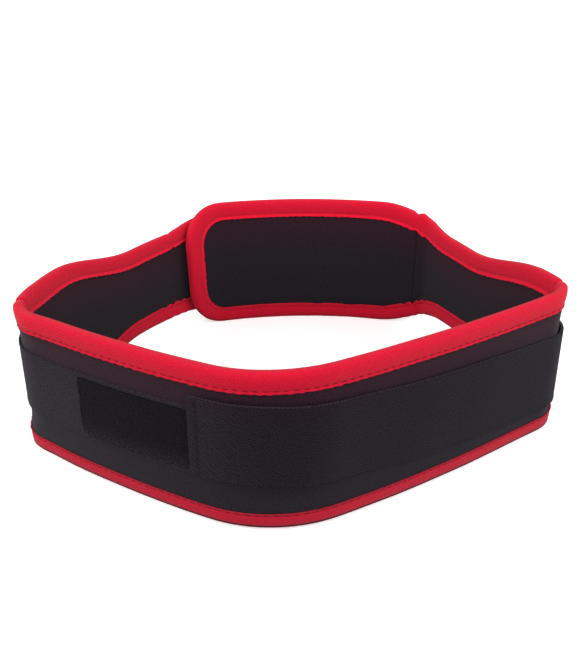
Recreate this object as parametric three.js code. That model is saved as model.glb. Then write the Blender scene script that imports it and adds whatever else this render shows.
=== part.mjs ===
// A padded weightlifting belt, closed into a loop and standing on its lower edge.
//
// One long foam panel is bound all round with a folded tape. Its two ends overlap at the back and hold
// by a hook-and-loop fastener. On the outside a base strap with a loop patch comes from one side, and
// a tightening strap comes from the other side, crosses the front and sticks to the patch.
//
// Every piece is laid out on the flat pattern first and then wrapped on the loop:
//   s  distance along the belt from the middle of its front, to the right positive
//   n  distance outwards from the middle of the panel's thickness
//   z  height above the ground
// Units are millimetres. +Z is up, -Y is the front of the loop.
import * as THREE from "three";

// Panel
const BELT_HEIGHT = 100;
const PANEL_THICKNESS = 5.4;
const END_CORNER_RADIUS = 32;

// Folded edge tape
const TAPE_LEG = 11.7;
const TAPE_THICKNESS = 0.9;
const TAPE_CROWN_DEPTH = 2.2;
// Its outside from the end of a leg to the crown: how deep each point lies in from the edge of the belt,
// and how far it has rounded in from the tape's flat outside.
const TAPE_ROUND = [
  { depth: TAPE_LEG, rounded: 0 },
  { depth: 2.6, rounded: 0 },
  { depth: 0.8, rounded: 1.0 },
  { depth: 0, rounded: 2.7 },
];

// Straps and fasteners
const BASE_STRAP_THICKNESS = 1.2;
const LOOP_PATCH_THICKNESS = 1.4;
const STRAP_HOOK_THICKNESS = 1.0;
const TIGHTENING_STRAP_THICKNESS = 2.0;
const END_FASTENER_THICKNESS = 2.7;

// Clearance that neighbouring pieces keep
const GAP = 0.3;

// Middle of the front on the plan, and the way that the belt runs there
const FRONT_X = -14.69;
const FRONT_Y = -141.4;
const FRONT_HEADING = 1.8;

// The plan of the loop, from the middle of the front outwards. Each row is an arc of the panel's middle
// surface: its length in mm, how far it turns inwards in degrees, and how far the top edge leans out
// beyond the bottom edge where the arc ends.
const RIGHT_BENDS = [
  { name: "front", length: 39, turn: 26.4, lean: 0 },
  { name: "flank", length: 160.5, turn: 8.4, lean: 0 },
  { name: "corner", length: 33.5, turn: 75.2, lean: 0 },
  { name: "wall", length: 141, turn: 5.1, lean: 3 },
  { name: "crease", length: 10, turn: 42.7, lean: 5 },
  { name: "inner end", length: 159, turn: 35.1, lean: 6 },
  { name: "inner tip", length: 36, turn: 41.5, lean: 5 },
];
const LEFT_BENDS = [
  { name: "front", length: 33, turn: 26.2, lean: 0 },
  { name: "flank", length: 125, turn: 11.6, lean: 0 },
  { name: "corner", length: 47.5, turn: 73.9, lean: -1 },
  { name: "wall", length: 165, turn: 16.9, lean: 4 },
  { name: "crease", length: 38, turn: 38.3, lean: 6 },
  { name: "outer end", length: 157.5, turn: 33.6, lean: 5 },
];
const RIGHT_LENGTH = RIGHT_BENDS.reduce((sum, bend) => sum + bend.length, 0);
const LEFT_LENGTH = LEFT_BENDS.reduce((sum, bend) => sum + bend.length, 0);

// The waisted outline of the pattern: how far the top edge drops, and the bottom edge rises, at a
// distance from the middle of the front on either side. It eases from row to row.
const OUTLINE = [
  { left_at: 230, left_dip: 0, right_at: 240, right_dip: 0 },
  { left_at: 314, left_dip: 15.5, right_at: 322, right_dip: 15.5 },
  { left_at: 348, left_dip: 15.5, right_at: 350, right_dip: 15.5 },
  { left_at: 430, left_dip: 5, right_at: 416, right_dip: 0 },
];

// Where each flat piece lies: its reach along s, and the height of its middle at both ends of that reach.
const BASE_STRAP = { from: -280, to: 8, width: 43.5, middle_from: 51.3, middle_to: 52.2 };
const LOOP_PATCH = { from: -120.5, to: -6, width: 39, middle_from: 51.7, middle_to: 52.7 };
const STRAP_HOOK = { from: -39.5, to: -10, width: 36, middle_from: 54.5, middle_to: 54 };
const END_FASTENER = { from: 424, to: 540, width: 54, middle_from: 50, middle_to: 50 };
// The heights of the tightening strap's two edges along the belt. It crosses the front a little askew,
// with its free end higher, and is widest on the flank, where it lies flat.
const TIGHTENING_STRAP = [
  { at: -41.6, low: 34.5, high: 84 },
  { at: 0, low: 33.5, high: 83 },
  { at: 40, low: 28.5, high: 79.8 },
  { at: 90, low: 22.5, high: 76.2 },
  { at: 150, low: 20.8, high: 74.8 },
  { at: 205, low: 20, high: 70.8 },
  { at: 280, low: 20, high: 70 },
];
// It comes down from the patch to the panel here.
const STRAP_DOWN_FROM = 12;
const STRAP_DOWN_TO = 62;
// It is elastic and stands a little off the panel.
const STRAP_SLACK = 0.8;

// Facets
const LONGEST_STEP = 16;
const STEEPEST_STEP = 7.5;
const CORNER_STEPS = 7;
const NEAREST_STATIONS = 1.5;

// Levels of the layers on the outside of the panel
const PANEL_FACE = PANEL_THICKNESS / 2;
const TAPE_INSIDE = PANEL_FACE + GAP;
const TAPE_OUTSIDE = TAPE_INSIDE + TAPE_THICKNESS;
const BASE_STRAP_LEVEL = PANEL_FACE + GAP;
const LOOP_PATCH_LEVEL = BASE_STRAP_LEVEL + BASE_STRAP_THICKNESS + GAP;
const STRAP_HOOK_LEVEL = LOOP_PATCH_LEVEL + LOOP_PATCH_THICKNESS + GAP;
const RAISED_STRAP_LEVEL = STRAP_HOOK_LEVEL + STRAP_HOOK_THICKNESS + GAP;
const RESTING_STRAP_LEVEL = PANEL_FACE + GAP + STRAP_SLACK;
const END_FASTENER_LEVEL = PANEL_FACE + GAP;
const PANEL_INSET = TAPE_CROWN_DEPTH + GAP;

const ease = THREE.MathUtils.smoothstep;
const { lerp, degToRad } = THREE.MathUtils;

// A point of the plan at s, with its outward normal and the lean there.
function planAt(s) {
  const side = s < 0 ? -1 : 1;
  const point = new THREE.Vector2(FRONT_X, FRONT_Y);
  let heading = degToRad(FRONT_HEADING) + (side < 0 ? Math.PI : 0);
  let lean = 0;
  let left = Math.abs(s);
  for (const bend of side < 0 ? LEFT_BENDS : RIGHT_BENDS) {
    const run = Math.min(left, bend.length);
    const turn = side * degToRad(bend.turn) * (run / bend.length);
    const chord = (2 * run * Math.sin(turn / 2)) / turn || 0;
    point.x += chord * Math.cos(heading + turn / 2);
    point.y += chord * Math.sin(heading + turn / 2);
    heading += turn;
    lean = lerp(lean, bend.lean, run / bend.length);
    left -= run;
    if (left <= 0) break;
  }
  const outward = new THREE.Vector2(Math.sin(heading), -Math.cos(heading)).multiplyScalar(side);
  return { point, outward, lean };
}

// A point of the flat pattern, wrapped on the loop.
function wrap(s, n, z) {
  const { point, outward, lean } = planAt(s);
  const out = n + lean * (z / BELT_HEIGHT - 0.5);
  return new THREE.Vector3(point.x + out * outward.x, point.y + out * outward.y, z);
}

// How far the outline is drawn in from the full height at s.
function dipAt(s) {
  const rows = OUTLINE.map((row) =>
    s < 0 ? { at: row.left_at, dip: row.left_dip } : { at: row.right_at, dip: row.right_dip },
  );
  let dip = rows[0].dip;
  for (let i = 1; i < rows.length; i++) {
    dip += (rows[i].dip - rows[i - 1].dip) * ease(Math.abs(s), rows[i - 1].at, rows[i].at);
  }
  return dip;
}

// Distances along the belt where its facets meet: close together in the tight bends.
function bendStations() {
  const found = [0];
  for (const [bends, side] of [[RIGHT_BENDS, 1], [LEFT_BENDS, -1]]) {
    let reached = 0;
    for (const { length, turn } of bends) {
      const steps = Math.ceil(Math.max(length / LONGEST_STEP, turn / STEEPEST_STEP));
      for (let i = 1; i <= steps; i++) found.push(side * (reached + (length * i) / steps));
      reached += length;
    }
  }
  return found.sort((a, b) => a - b);
}
const STATIONS = bendStations();

// The stations of a reach, with both of its ends.
function stationsBetween(from, to) {
  const inside = STATIONS.filter((s) => s > from + NEAREST_STATIONS && s < to - NEAREST_STATIONS);
  return [from, ...inside, to];
}

// A closed mesh through rings of points. An open loft is capped at both ends by fans.
function loft(rings, closed) {
  const count = rings[0].length;
  const positions = rings.flat().flatMap((point) => point.toArray());
  const index = [];
  const spans = closed ? rings.length : rings.length - 1;
  for (let i = 0; i < spans; i++) {
    const here = i * count;
    const next = ((i + 1) % rings.length) * count;
    for (let j = 0; j < count; j++) {
      const k = (j + 1) % count;
      index.push(here + j, here + k, next + k, here + j, next + k, next + j);
    }
  }
  if (!closed) {
    const last = (rings.length - 1) * count;
    for (let j = 1; j < count - 1; j++) index.push(0, j + 1, j, last, last + j, last + j + 1);
  }
  const geometry = new THREE.BufferGeometry();
  geometry.setAttribute("position", new THREE.Float32BufferAttribute(positions, 3));
  geometry.setIndex(index);
  geometry.computeVertexNormals();
  return geometry;
}

// A four-sided section of a flat piece between two levels and two heights.
function flatSection(s, inside, outside, bottom, top) {
  return [wrap(s, inside, bottom), wrap(s, inside, top), wrap(s, outside, top), wrap(s, outside, bottom)];
}

// The foam panel, drawn in from the tape's crown all round, with round corners at both ends.
function panelGeometry() {
  const radius = END_CORNER_RADIUS - PANEL_INSET;
  const left = -LEFT_LENGTH + PANEL_INSET;
  const right = RIGHT_LENGTH - PANEL_INSET;
  const corner = Array.from({ length: CORNER_STEPS }, (_, i) => {
    const angle = (Math.PI / 2) * (i / CORNER_STEPS);
    return { run: radius * (1 - Math.cos(angle)), cut: radius * (1 - Math.sin(angle)) };
  });
  const sections = [
    ...corner.map(({ run, cut }) => ({ s: left + run, cut })),
    ...stationsBetween(left + radius, right - radius).map((s) => ({ s, cut: 0 })),
    ...corner.map(({ run, cut }) => ({ s: right - run, cut })).reverse(),
  ];
  const rings = sections.map(({ s, cut }) => {
    const low = dipAt(s) + PANEL_INSET + cut;
    return flatSection(s, -PANEL_FACE, PANEL_FACE, low, BELT_HEIGHT - low);
  });
  return loft(rings, false);
}

// The folded tape's section: depth in from the edge of the belt, and level, once round.
function tapeSection() {
  const outerHalf = TAPE_ROUND.map(({ depth, rounded }) => ({ depth, level: TAPE_OUTSIDE - rounded }));
  // A point half way down each leg keeps the tape off the panel where the belt bends.
  const innerHalf = [
    { depth: TAPE_CROWN_DEPTH, level: TAPE_INSIDE },
    { depth: (TAPE_CROWN_DEPTH + TAPE_LEG) / 2, level: TAPE_INSIDE },
    { depth: TAPE_LEG, level: TAPE_INSIDE },
  ];
  const mirrored = (rows) => rows.map(({ depth, level }) => ({ depth, level: -level })).reverse();
  return [...outerHalf, ...mirrored(outerHalf), ...mirrored(innerHalf), ...innerHalf].reverse();
}

// The edge of the belt on the flat pattern, once round: a point and the way in from it.
function beltEdge() {
  const middle = BELT_HEIGHT / 2;
  const left = -LEFT_LENGTH + END_CORNER_RADIUS;
  const right = RIGHT_LENGTH - END_CORNER_RADIUS;
  const top = stationsBetween(left, right).map((s) => ({
    s,
    z: BELT_HEIGHT - dipAt(s),
    in_s: 0,
    in_z: -1,
  }));
  // A round corner about a centre, from one direction to another, without its last point.
  const corner = (s, from, to) => {
    const rise = middle - dipAt(s) - END_CORNER_RADIUS;
    return Array.from({ length: CORNER_STEPS - 1 }, (_, i) => {
      const angle = degToRad(lerp(from, to, (i + 1) / CORNER_STEPS));
      const [cos, sin] = [Math.cos(angle), Math.sin(angle)];
      return {
        s: s + END_CORNER_RADIUS * cos,
        z: middle + Math.sign(sin) * rise + END_CORNER_RADIUS * sin,
        in_s: -cos,
        in_z: -sin,
      };
    });
  };
  // The straight stretch of an end, between its two corners.
  const end = (s, side) => {
    const rise = middle - dipAt(s) - END_CORNER_RADIUS;
    return [rise, -rise].map((offset) => ({
      s: s + side * END_CORNER_RADIUS,
      z: middle + side * offset,
      in_s: -side,
      in_z: 0,
    }));
  };
  const bottom = [...top].reverse().map((point) => ({ ...point, z: BELT_HEIGHT - point.z, in_z: 1 }));
  return [
    ...top,
    ...corner(right, 90, 0),
    ...end(right, 1),
    ...corner(right, 0, -90),
    ...bottom,
    ...corner(left, 270, 180),
    ...end(left, -1),
    ...corner(left, 180, 90),
  ];
}

// The tape, folded over the edge of the panel all the way round.
function tapeGeometry() {
  const section = tapeSection();
  const rings = beltEdge().map(({ s, z, in_s, in_z }) =>
    section.map(({ depth, level }) => wrap(s + depth * in_s, level, z + depth * in_z)),
  );
  return loft(rings, true);
}

// A flat piece on the outside of the panel. Its level and its two edges are functions of s.
function layerGeometry(from, to, thickness, levelAt, edgesAt) {
  const rings = stationsBetween(from, to).map((s) => {
    const inside = levelAt(s);
    const [bottom, top] = edgesAt(s);
    return flatSection(s, inside, inside + thickness, bottom, top);
  });
  return loft(rings, false);
}

// The tightening strap is raised over the patch, and comes down to the panel past it.
function strapLevel(s) {
  return lerp(RAISED_STRAP_LEVEL, RESTING_STRAP_LEVEL, ease(s, STRAP_DOWN_FROM, STRAP_DOWN_TO));
}

// The tightening strap's edges run straight from row to row.
function strapEdges(s) {
  const next = TIGHTENING_STRAP.findIndex((row, i) => i > 0 && s <= row.at);
  const [a, b] = [TIGHTENING_STRAP[next - 1], TIGHTENING_STRAP[next]];
  const t = (s - a.at) / (b.at - a.at);
  return [lerp(a.low, b.low, t), lerp(a.high, b.high, t)];
}

const belt = new THREE.Group();
function add(name, geometry, color, roughness) {
  const material = new THREE.MeshStandardMaterial({ color, roughness, metalness: 0 });
  const mesh = new THREE.Mesh(geometry, material);
  mesh.name = name;
  belt.add(mesh);
}

// Adds a flat piece that lies at one level and runs straight on the pattern.
function addStraight(name, piece, thickness, level, color, roughness) {
  const { from, to, width, middle_from, middle_to } = piece;
  const edgesAt = (s) => {
    const middle = lerp(middle_from, middle_to, (s - from) / (to - from));
    return [middle - width / 2, middle + width / 2];
  };
  add(name, layerGeometry(from, to, thickness, () => level, edgesAt), color, roughness);
}

add("foam_panel", panelGeometry(), 0x2a2527, 0.95);
add("edge_tape", tapeGeometry(), 0xd8182e, 0.7);
addStraight("base_strap", BASE_STRAP, BASE_STRAP_THICKNESS, BASE_STRAP_LEVEL, 0x29282d, 0.85);
addStraight("loop_patch", LOOP_PATCH, LOOP_PATCH_THICKNESS, LOOP_PATCH_LEVEL, 0x19181b, 1);
addStraight("strap_hook", STRAP_HOOK, STRAP_HOOK_THICKNESS, STRAP_HOOK_LEVEL, 0x171619, 0.8);
addStraight("end_fastener", END_FASTENER, END_FASTENER_THICKNESS, END_FASTENER_LEVEL, 0x171619, 0.8);
const strapReach = [TIGHTENING_STRAP[0].at, TIGHTENING_STRAP.at(-1).at];
const strap = layerGeometry(...strapReach, TIGHTENING_STRAP_THICKNESS, strapLevel, strapEdges);
add("tightening_strap", strap, 0x26252a, 0.85);

export default belt;
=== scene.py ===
"""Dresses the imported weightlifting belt: padded panel, folded edge tape, straps, fasteners and stitches.

Every piece is drawn on the belt's flat pattern and then wrapped on the loop, as the solids are:
  s  distance along the belt from the middle of its front, to the right positive
  n  distance outwards from the middle of the panel's thickness
  z  height above the ground
The pattern is in millimetres and Blender's meshes are in metres.
"""

import functools
import math
from typing import NamedTuple

import bmesh
import bpy
from bpy.props import FloatProperty, FloatVectorProperty, PointerProperty
from mathutils import Matrix, Vector, noise


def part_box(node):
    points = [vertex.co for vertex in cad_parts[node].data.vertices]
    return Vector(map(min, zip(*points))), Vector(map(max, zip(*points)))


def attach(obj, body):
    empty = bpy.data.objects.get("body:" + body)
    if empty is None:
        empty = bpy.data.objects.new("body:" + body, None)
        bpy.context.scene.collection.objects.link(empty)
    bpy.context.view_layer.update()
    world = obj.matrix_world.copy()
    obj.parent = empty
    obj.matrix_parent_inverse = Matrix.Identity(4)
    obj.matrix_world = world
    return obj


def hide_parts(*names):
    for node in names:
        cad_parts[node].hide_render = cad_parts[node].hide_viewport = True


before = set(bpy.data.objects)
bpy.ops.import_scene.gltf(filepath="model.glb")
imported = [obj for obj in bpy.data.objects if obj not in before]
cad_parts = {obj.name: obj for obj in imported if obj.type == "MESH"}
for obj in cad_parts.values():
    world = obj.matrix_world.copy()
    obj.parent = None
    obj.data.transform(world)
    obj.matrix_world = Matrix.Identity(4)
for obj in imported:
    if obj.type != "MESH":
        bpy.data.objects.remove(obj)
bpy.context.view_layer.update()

bl_info = {
    "name": "Weightlifting belt",
    "version": (1, 0, 0),
    "blender": (4, 5, 0),
    "location": "View3D > Sidebar > Belt",
    "description": "Builds a padded belt with bound edges, straps and hook-and-loop fasteners",
    "category": "Add Mesh",
}

MM = 0.001
BODY = "root"
BELT_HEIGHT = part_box("edge_tape")[1][2] / MM
PATTERN_UV = "pattern"
BELOW_EDGE = "below_edge"
ACROSS_TAPE = "across_tape"


def linear(code):
    """The linear colour of an sRGB hex code."""
    channels = [int(code[i : i + 2], 16) / 255 for i in (1, 3, 5)]
    return [c / 12.92 if c <= 0.04045 else ((c + 0.055) / 1.055) ** 2.4 for c in channels]


def lerp(a, b, t):
    return a + (b - a) * t


def ease(x, start, end):
    """0 before start, 1 after end, and a smooth step between them."""
    t = min(max((x - start) / (end - start), 0), 1)
    return t * t * (3 - 2 * t)


def hump(x, middle, width):
    """A smooth hill of height 1 that has died away about two widths from its middle."""
    return math.exp(-(((x - middle) / width) ** 2))


def corner_cut(reach, radius):
    """How much a round corner takes off an edge, at a distance from the end."""
    if reach >= radius:
        return 0
    return radius - math.sqrt(max(0, radius**2 - (radius - reach) ** 2))


# The plan of the loop


class Bend(NamedTuple):
    """An arc of the plan: length in mm, turn in degrees, and lean in mm where it ends."""

    name: str
    length: float
    turn: float
    lean: float


FRONT = Vector((-14.69, -141.4))
FRONT_HEADING = math.radians(1.8)
RIGHT_BENDS = (
    Bend("front", 39, 26.4, 0),
    Bend("flank", 160.5, 8.4, 0),
    Bend("corner", 33.5, 75.2, 0),
    Bend("wall", 141, 5.1, 3),
    Bend("crease", 10, 42.7, 5),
    Bend("inner end", 159, 35.1, 6),
    Bend("inner tip", 36, 41.5, 5),
)
LEFT_BENDS = (
    Bend("front", 33, 26.2, 0),
    Bend("flank", 125, 11.6, 0),
    Bend("corner", 47.5, 73.9, -1),
    Bend("wall", 165, 16.9, 4),
    Bend("crease", 38, 38.3, 6),
    Bend("outer end", 157.5, 33.6, 5),
)
RIGHT_END = sum(bend.length for bend in RIGHT_BENDS)
LEFT_END = -sum(bend.length for bend in LEFT_BENDS)


@functools.lru_cache(maxsize=None)
def plan_at(s):
    """A point of the plan at s, its outward direction, and the lean there."""
    side = -1 if s < 0 else 1
    point = FRONT.copy()
    heading = FRONT_HEADING + (math.pi if s < 0 else 0)
    lean = 0
    left = abs(s)
    for bend in LEFT_BENDS if s < 0 else RIGHT_BENDS:
        run = min(left, bend.length)
        turn = side * math.radians(bend.turn) * run / bend.length
        chord = 2 * run * math.sin(turn / 2) / turn if run else 0
        point += chord * Vector((math.cos(heading + turn / 2), math.sin(heading + turn / 2)))
        heading += turn
        lean = lerp(lean, bend.lean, run / bend.length)
        left -= run
        if left <= 0:
            break
    return point, side * Vector((math.sin(heading), -math.cos(heading))), lean


class Flare(NamedTuple):
    """How far the belt's two edges are pushed out near a place along it, in mm."""

    s: float
    reach: float
    top: float
    bottom: float


FLARES = (
    Flare(-355, 18, -1.6, -3.0),
    Flare(-200, 14, -1.2, 1.2),
    Flare(-174, 12, 0, 2.2),
    Flare(-166, 16, 2.0, -0.8),
    Flare(40, 120, 0, 3.6),
    Flare(222, 20, 1.2, 1.6),
)
# How far from the middle of the height a flare sets in, and is full, in mm.
FLARE_BAND = (26, 42)
# The soft panel's slow waves: how far they go in and out, and how long they are along and up it, in mm.
WAVE_DEPTH = 0.25
WAVE_ALONG = 38
WAVE_UP = 45


def flare(s, z):
    """How far the belt is pushed out at a place by the flares near it."""
    above = z - BELT_HEIGHT / 2
    share = ease(abs(above), *FLARE_BAND)
    if not share:
        return 0
    return share * sum(hump(s, f.s, f.reach) * (f.top if above > 0 else f.bottom) for f in FLARES)


def unevenness(s, z):
    """The soft panel's slow waves, which everything on it follows."""
    return WAVE_DEPTH * noise.noise(Vector((s / WAVE_ALONG, z / WAVE_UP, 0)))


def wrap(s, n, z):
    """A point of the pattern on the loop, in metres."""
    point, outward, lean = plan_at(s)
    out = n + lean * (z / BELT_HEIGHT - 0.5) + flare(s, z) + unevenness(s, z)
    flat = point + outward * out
    return Vector((flat.x, flat.y, z)) * MM


def outward_at(s):
    """The direction out of the belt at s."""
    outward = plan_at(s)[1]
    return Vector((outward.x, outward.y, 0))


# The waisted outline of the pattern


class OutlineRow(NamedTuple):
    """How far both long edges are drawn in, at a distance from the front on each side."""

    left_at: float
    left_dip: float
    right_at: float
    right_dip: float


OUTLINE = (
    OutlineRow(230, 0, 240, 0),
    OutlineRow(314, 15.5, 322, 15.5),
    OutlineRow(348, 15.5, 350, 15.5),
    OutlineRow(430, 5, 416, 0),
)
END_CORNER = 32


def dip_at(s):
    """How far the long edges are drawn in at s."""
    rows = [(r.left_at, r.left_dip) if s < 0 else (r.right_at, r.right_dip) for r in OUTLINE]
    steps = zip(rows, rows[1:])
    return rows[0][1] + sum((b[1] - a[1]) * ease(abs(s), a[0], b[0]) for a, b in steps)


class EdgePoint(NamedTuple):
    """A point of the belt's edge on the pattern, and the way in from it."""

    s: float
    z: float
    in_s: float
    in_z: float


class EdgeRun(NamedTuple):
    """A stretch of the edge: its length, and the point at a distance along it."""

    length: float
    at: object


def edge_runs():
    """The stretches of the belt's edge, once round from the left end of its top."""
    left = LEFT_END + END_CORNER
    right = RIGHT_END - END_CORNER
    middle = BELT_HEIGHT / 2
    quarter = END_CORNER * math.pi / 2

    def top(d):
        s = left + d
        return EdgePoint(s, BELT_HEIGHT - dip_at(s), 0, -1)

    def bottom(d):
        s = right - d
        return EdgePoint(s, dip_at(s), 0, 1)

    def corner(centre, up, start):
        height = middle + up * (middle - dip_at(centre) - END_CORNER)

        def at(d):
            angle = start - d / END_CORNER
            out_s, out_z = math.cos(angle), math.sin(angle)
            return EdgePoint(centre + END_CORNER * out_s, height + END_CORNER * out_z, -out_s, -out_z)

        return at

    def end(centre, side):
        half = middle - dip_at(centre) - END_CORNER

        def at(d):
            return EdgePoint(centre + side * END_CORNER, middle + side * (half - d), -side, 0)

        return EdgeRun(2 * half, at)

    return (
        EdgeRun(right - left, top),
        EdgeRun(quarter, corner(right, 1, math.pi / 2)),
        end(right, 1),
        EdgeRun(quarter, corner(right, -1, 0)),
        EdgeRun(right - left, bottom),
        EdgeRun(quarter, corner(left, -1, -math.pi / 2)),
        end(left, -1),
        EdgeRun(quarter, corner(left, 1, math.pi)),
    )


EDGE_RUNS = edge_runs()
EDGE_LENGTH = sum(run.length for run in EDGE_RUNS)
TOP_LENGTH = EDGE_RUNS[0].length
HALF_END = EDGE_RUNS[1].length + EDGE_RUNS[2].length / 2


def edge_at(distance):
    """The point of the belt's edge at a distance once round it."""
    left = distance % EDGE_LENGTH
    for run in EDGE_RUNS:
        if left <= run.length:
            return run.at(left)
        left -= run.length
    return EDGE_RUNS[-1].at(EDGE_RUNS[-1].length)


# Making pieces

# Faces that meet at more than this angle, in degrees, keep a sharp edge between them.
SHARP_ANGLE = 40
# A flat piece's rim is rounded in this many steps, where its faces meet at more than this angle.
RIM_STEPS = 2
RIM_ANGLE = 50
# The part of its pitch that a stitch takes up, and how far its middle is above the cloth, in mm.
STITCH_PART = (0.18, 0.82)
STITCH_LIFT = 0.05
STITCH_SIDES = 6
STITCH_RINGS = 4


def flat_block(start, end, columns, rows):
    """A block on the pattern: x runs along s, y from 0 to 1 up it, z from 0 inside to 1 outside."""
    bm = bmesh.new()
    bmesh.ops.create_grid(bm, x_segments=columns, y_segments=rows, size=0.5)
    bmesh.ops.translate(bm, verts=bm.verts, vec=(0.5, 0.5, 0))
    bmesh.ops.scale(bm, verts=bm.verts, vec=(end - start, 1, 1))
    bmesh.ops.translate(bm, verts=bm.verts, vec=(start, 0, 0))
    made = bmesh.ops.extrude_face_region(bm, geom=bm.faces[:])["geom"]
    outside = [part for part in made if isinstance(part, bmesh.types.BMVert)]
    bmesh.ops.translate(bm, verts=outside, vec=(0, 0, 1))
    return bm


def wrap_block(bm, place):
    """Lays a block's points on the loop where place says, and keeps the flat pattern as its UV map."""
    uv = bm.loops.layers.uv.new(PATTERN_UV)
    below = bm.verts.layers.float.new(BELOW_EDGE)
    flat = {}
    for vert in bm.verts:
        s, n, z = place(*vert.co)
        flat[vert] = (s * MM, z * MM)
        vert[below] = (BELT_HEIGHT - dip_at(s) - z) * MM
        vert.co = wrap(s, n, z)
    for face in bm.faces:
        for loop in face.loops:
            loop[uv].uv = flat[loop.vert]


def add_to_scene(name, data):
    """Puts a mesh, light or camera in the scene."""
    thing = bpy.data.objects.new(name, data)
    bpy.context.scene.collection.objects.link(thing)
    return thing


def add_piece(bm, name, material, node=None):
    """Makes a piece of a bmesh, which moves with the belt and may stand for a node."""
    mesh = bpy.data.meshes.new(name)
    bm.to_mesh(mesh)
    bm.free()
    mesh.shade_smooth()
    mesh.set_sharp_from_angle(angle=math.radians(SHARP_ANGLE))
    mesh.materials.append(material)
    piece = add_to_scene(name, mesh)
    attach(piece, BODY)
    if node:
        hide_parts(node)
    return piece


def round_edges(piece, width):
    """Rounds a flat piece's rim, by a width in mm."""
    bevel = piece.modifiers.new("Rounded rim", "BEVEL")
    bevel.width = width * MM
    bevel.segments = RIM_STEPS
    bevel.limit_method = "ANGLE"
    bevel.angle_limit = math.radians(RIM_ANGLE)


def sew(bm, place, start, end, pitch, thread):
    """Lays a row of stitches along a line of the pattern. place gives s, n, z at a distance."""
    count = max(1, round(abs(end - start) / pitch))
    radius = thread * MM / 2
    scratch = bpy.data.meshes.new("stitch")
    for i in range(count):
        first, last = (place(lerp(start, end, (i + part) / count)) for part in STITCH_PART)
        a, b = wrap(*first), wrap(*last)
        along = (b - a) / 2
        out = outward_at((first[0] + last[0]) / 2)
        if first[1] < 0:
            out = -out
        side = along.cross(out).normalized()
        lift = along.cross(side).normalized()
        axes = Matrix((side * radius, lift * radius, along)).transposed().to_4x4()
        stitch = bmesh.new()
        bmesh.ops.create_uvsphere(
            stitch,
            u_segments=STITCH_SIDES,
            v_segments=STITCH_RINGS,
            radius=1,
            matrix=Matrix.Translation((a + b) / 2) @ axes,
        )
        stitch.to_mesh(scratch)
        stitch.free()
        bm.from_mesh(scratch)
    bpy.data.meshes.remove(scratch)


# Materials

# The wave texture's bands lie this far apart when its scale is 1.
BAND_SPACING = math.pi / 10
# The part of the noise texture's range over which a fibre goes from dark to light.
FIBRE_SPREAD = (0.36, 0.64)
FIBRE_BUMP = 0.7
FIBRE_DETAIL = 3
FIBRE_SHEEN_ROUGHNESS = 0.5
# Woven cloth has patches of lighter and darker thread of this size, in mm. They are mixed with its ribs
# by this share.
HEATHER = 1.3
HEATHER_SHARE = 0.65
HEATHER_DETAIL = 2
# How strong the fine part of the noise is, in the fibres and in the heathering.
NOISE_ROUGHNESS = 0.6
# The part of the range of the mix over which a thread goes from dark to light.
THREAD_SPREAD = (0.2, 0.8)
# How far the ribs waver from straight lines.
RIB_WAVER = 4
RIB_DETAIL = 2
RIB_DETAIL_SCALE = 2
RIB_BUMP = 0.8
THREAD_SHEEN_ROUGHNESS = 0.6
# The Mix node's sockets for vectors, by number, because those for other kinds have the same names.
MIX_FIRST, MIX_SECOND, MIX_RESULT = 4, 5, 1


class PaintedLight(NamedTuple):
    """A second colour of a cloth, painted light or shade: where it is full, and where it has gone, in mm of a
    measure on the mesh.
    """

    colour: tuple
    full: float
    gone: float
    measure: str = BELOW_EDGE


class Finish(NamedTuple):
    """How a cloth takes the light: its relief in mm, the contrast of its pattern, and its shine."""

    relief: float
    contrast: float
    roughness: float
    gloss: float
    sheen: float


class Weave(NamedTuple):
    """The ribs of a woven cloth: their spacing in mm and their slant in degrees."""

    rib: float
    slant: float


def add_node(tree, kind, inputs=None, **settings):
    """Adds a node with its settings; each input is a value or the socket that feeds it."""
    node = tree.nodes.new(kind)
    for name, value in settings.items():
        setattr(node, name, value)
    for name, value in (inputs or {}).items():
        if isinstance(value, bpy.types.NodeSocket):
            tree.links.new(value, node.inputs[name])
        else:
            node.inputs[name].default_value = value
    return node


def new_material(name):
    """An empty material, with the vector of the pattern's UV map in metres."""
    material = bpy.data.materials.new(name)
    material.use_nodes = True
    tree = material.node_tree
    tree.nodes.clear()
    pattern = add_node(tree, "ShaderNodeUVMap", uv_map=PATTERN_UV).outputs["UV"]
    return material, tree, pattern


def finish_material(tree, tone, height, bump, finish, sheen_roughness):
    """Ends a material with its relief and its surface shader."""
    relief = {"Height": height, "Strength": bump, "Distance": finish.relief * MM}
    shader = add_node(
        tree,
        "ShaderNodeBsdfPrincipled",
        {
            "Base Color": tone,
            "Roughness": finish.roughness,
            "Specular IOR Level": finish.gloss,
            "Sheen Weight": finish.sheen,
            "Sheen Roughness": sheen_roughness,
            "Normal": add_node(tree, "ShaderNodeBump", relief).outputs["Normal"],
        },
    )
    add_node(tree, "ShaderNodeOutputMaterial", {"Surface": shader.outputs["BSDF"]})


def band_scale(period):
    """The wave texture's scale for a rib spacing in mm."""
    return BAND_SPACING / (period * MM)


def grain_scale(size):
    """The noise texture's scale for a grain size in mm."""
    return 1 / (size * MM)


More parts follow.
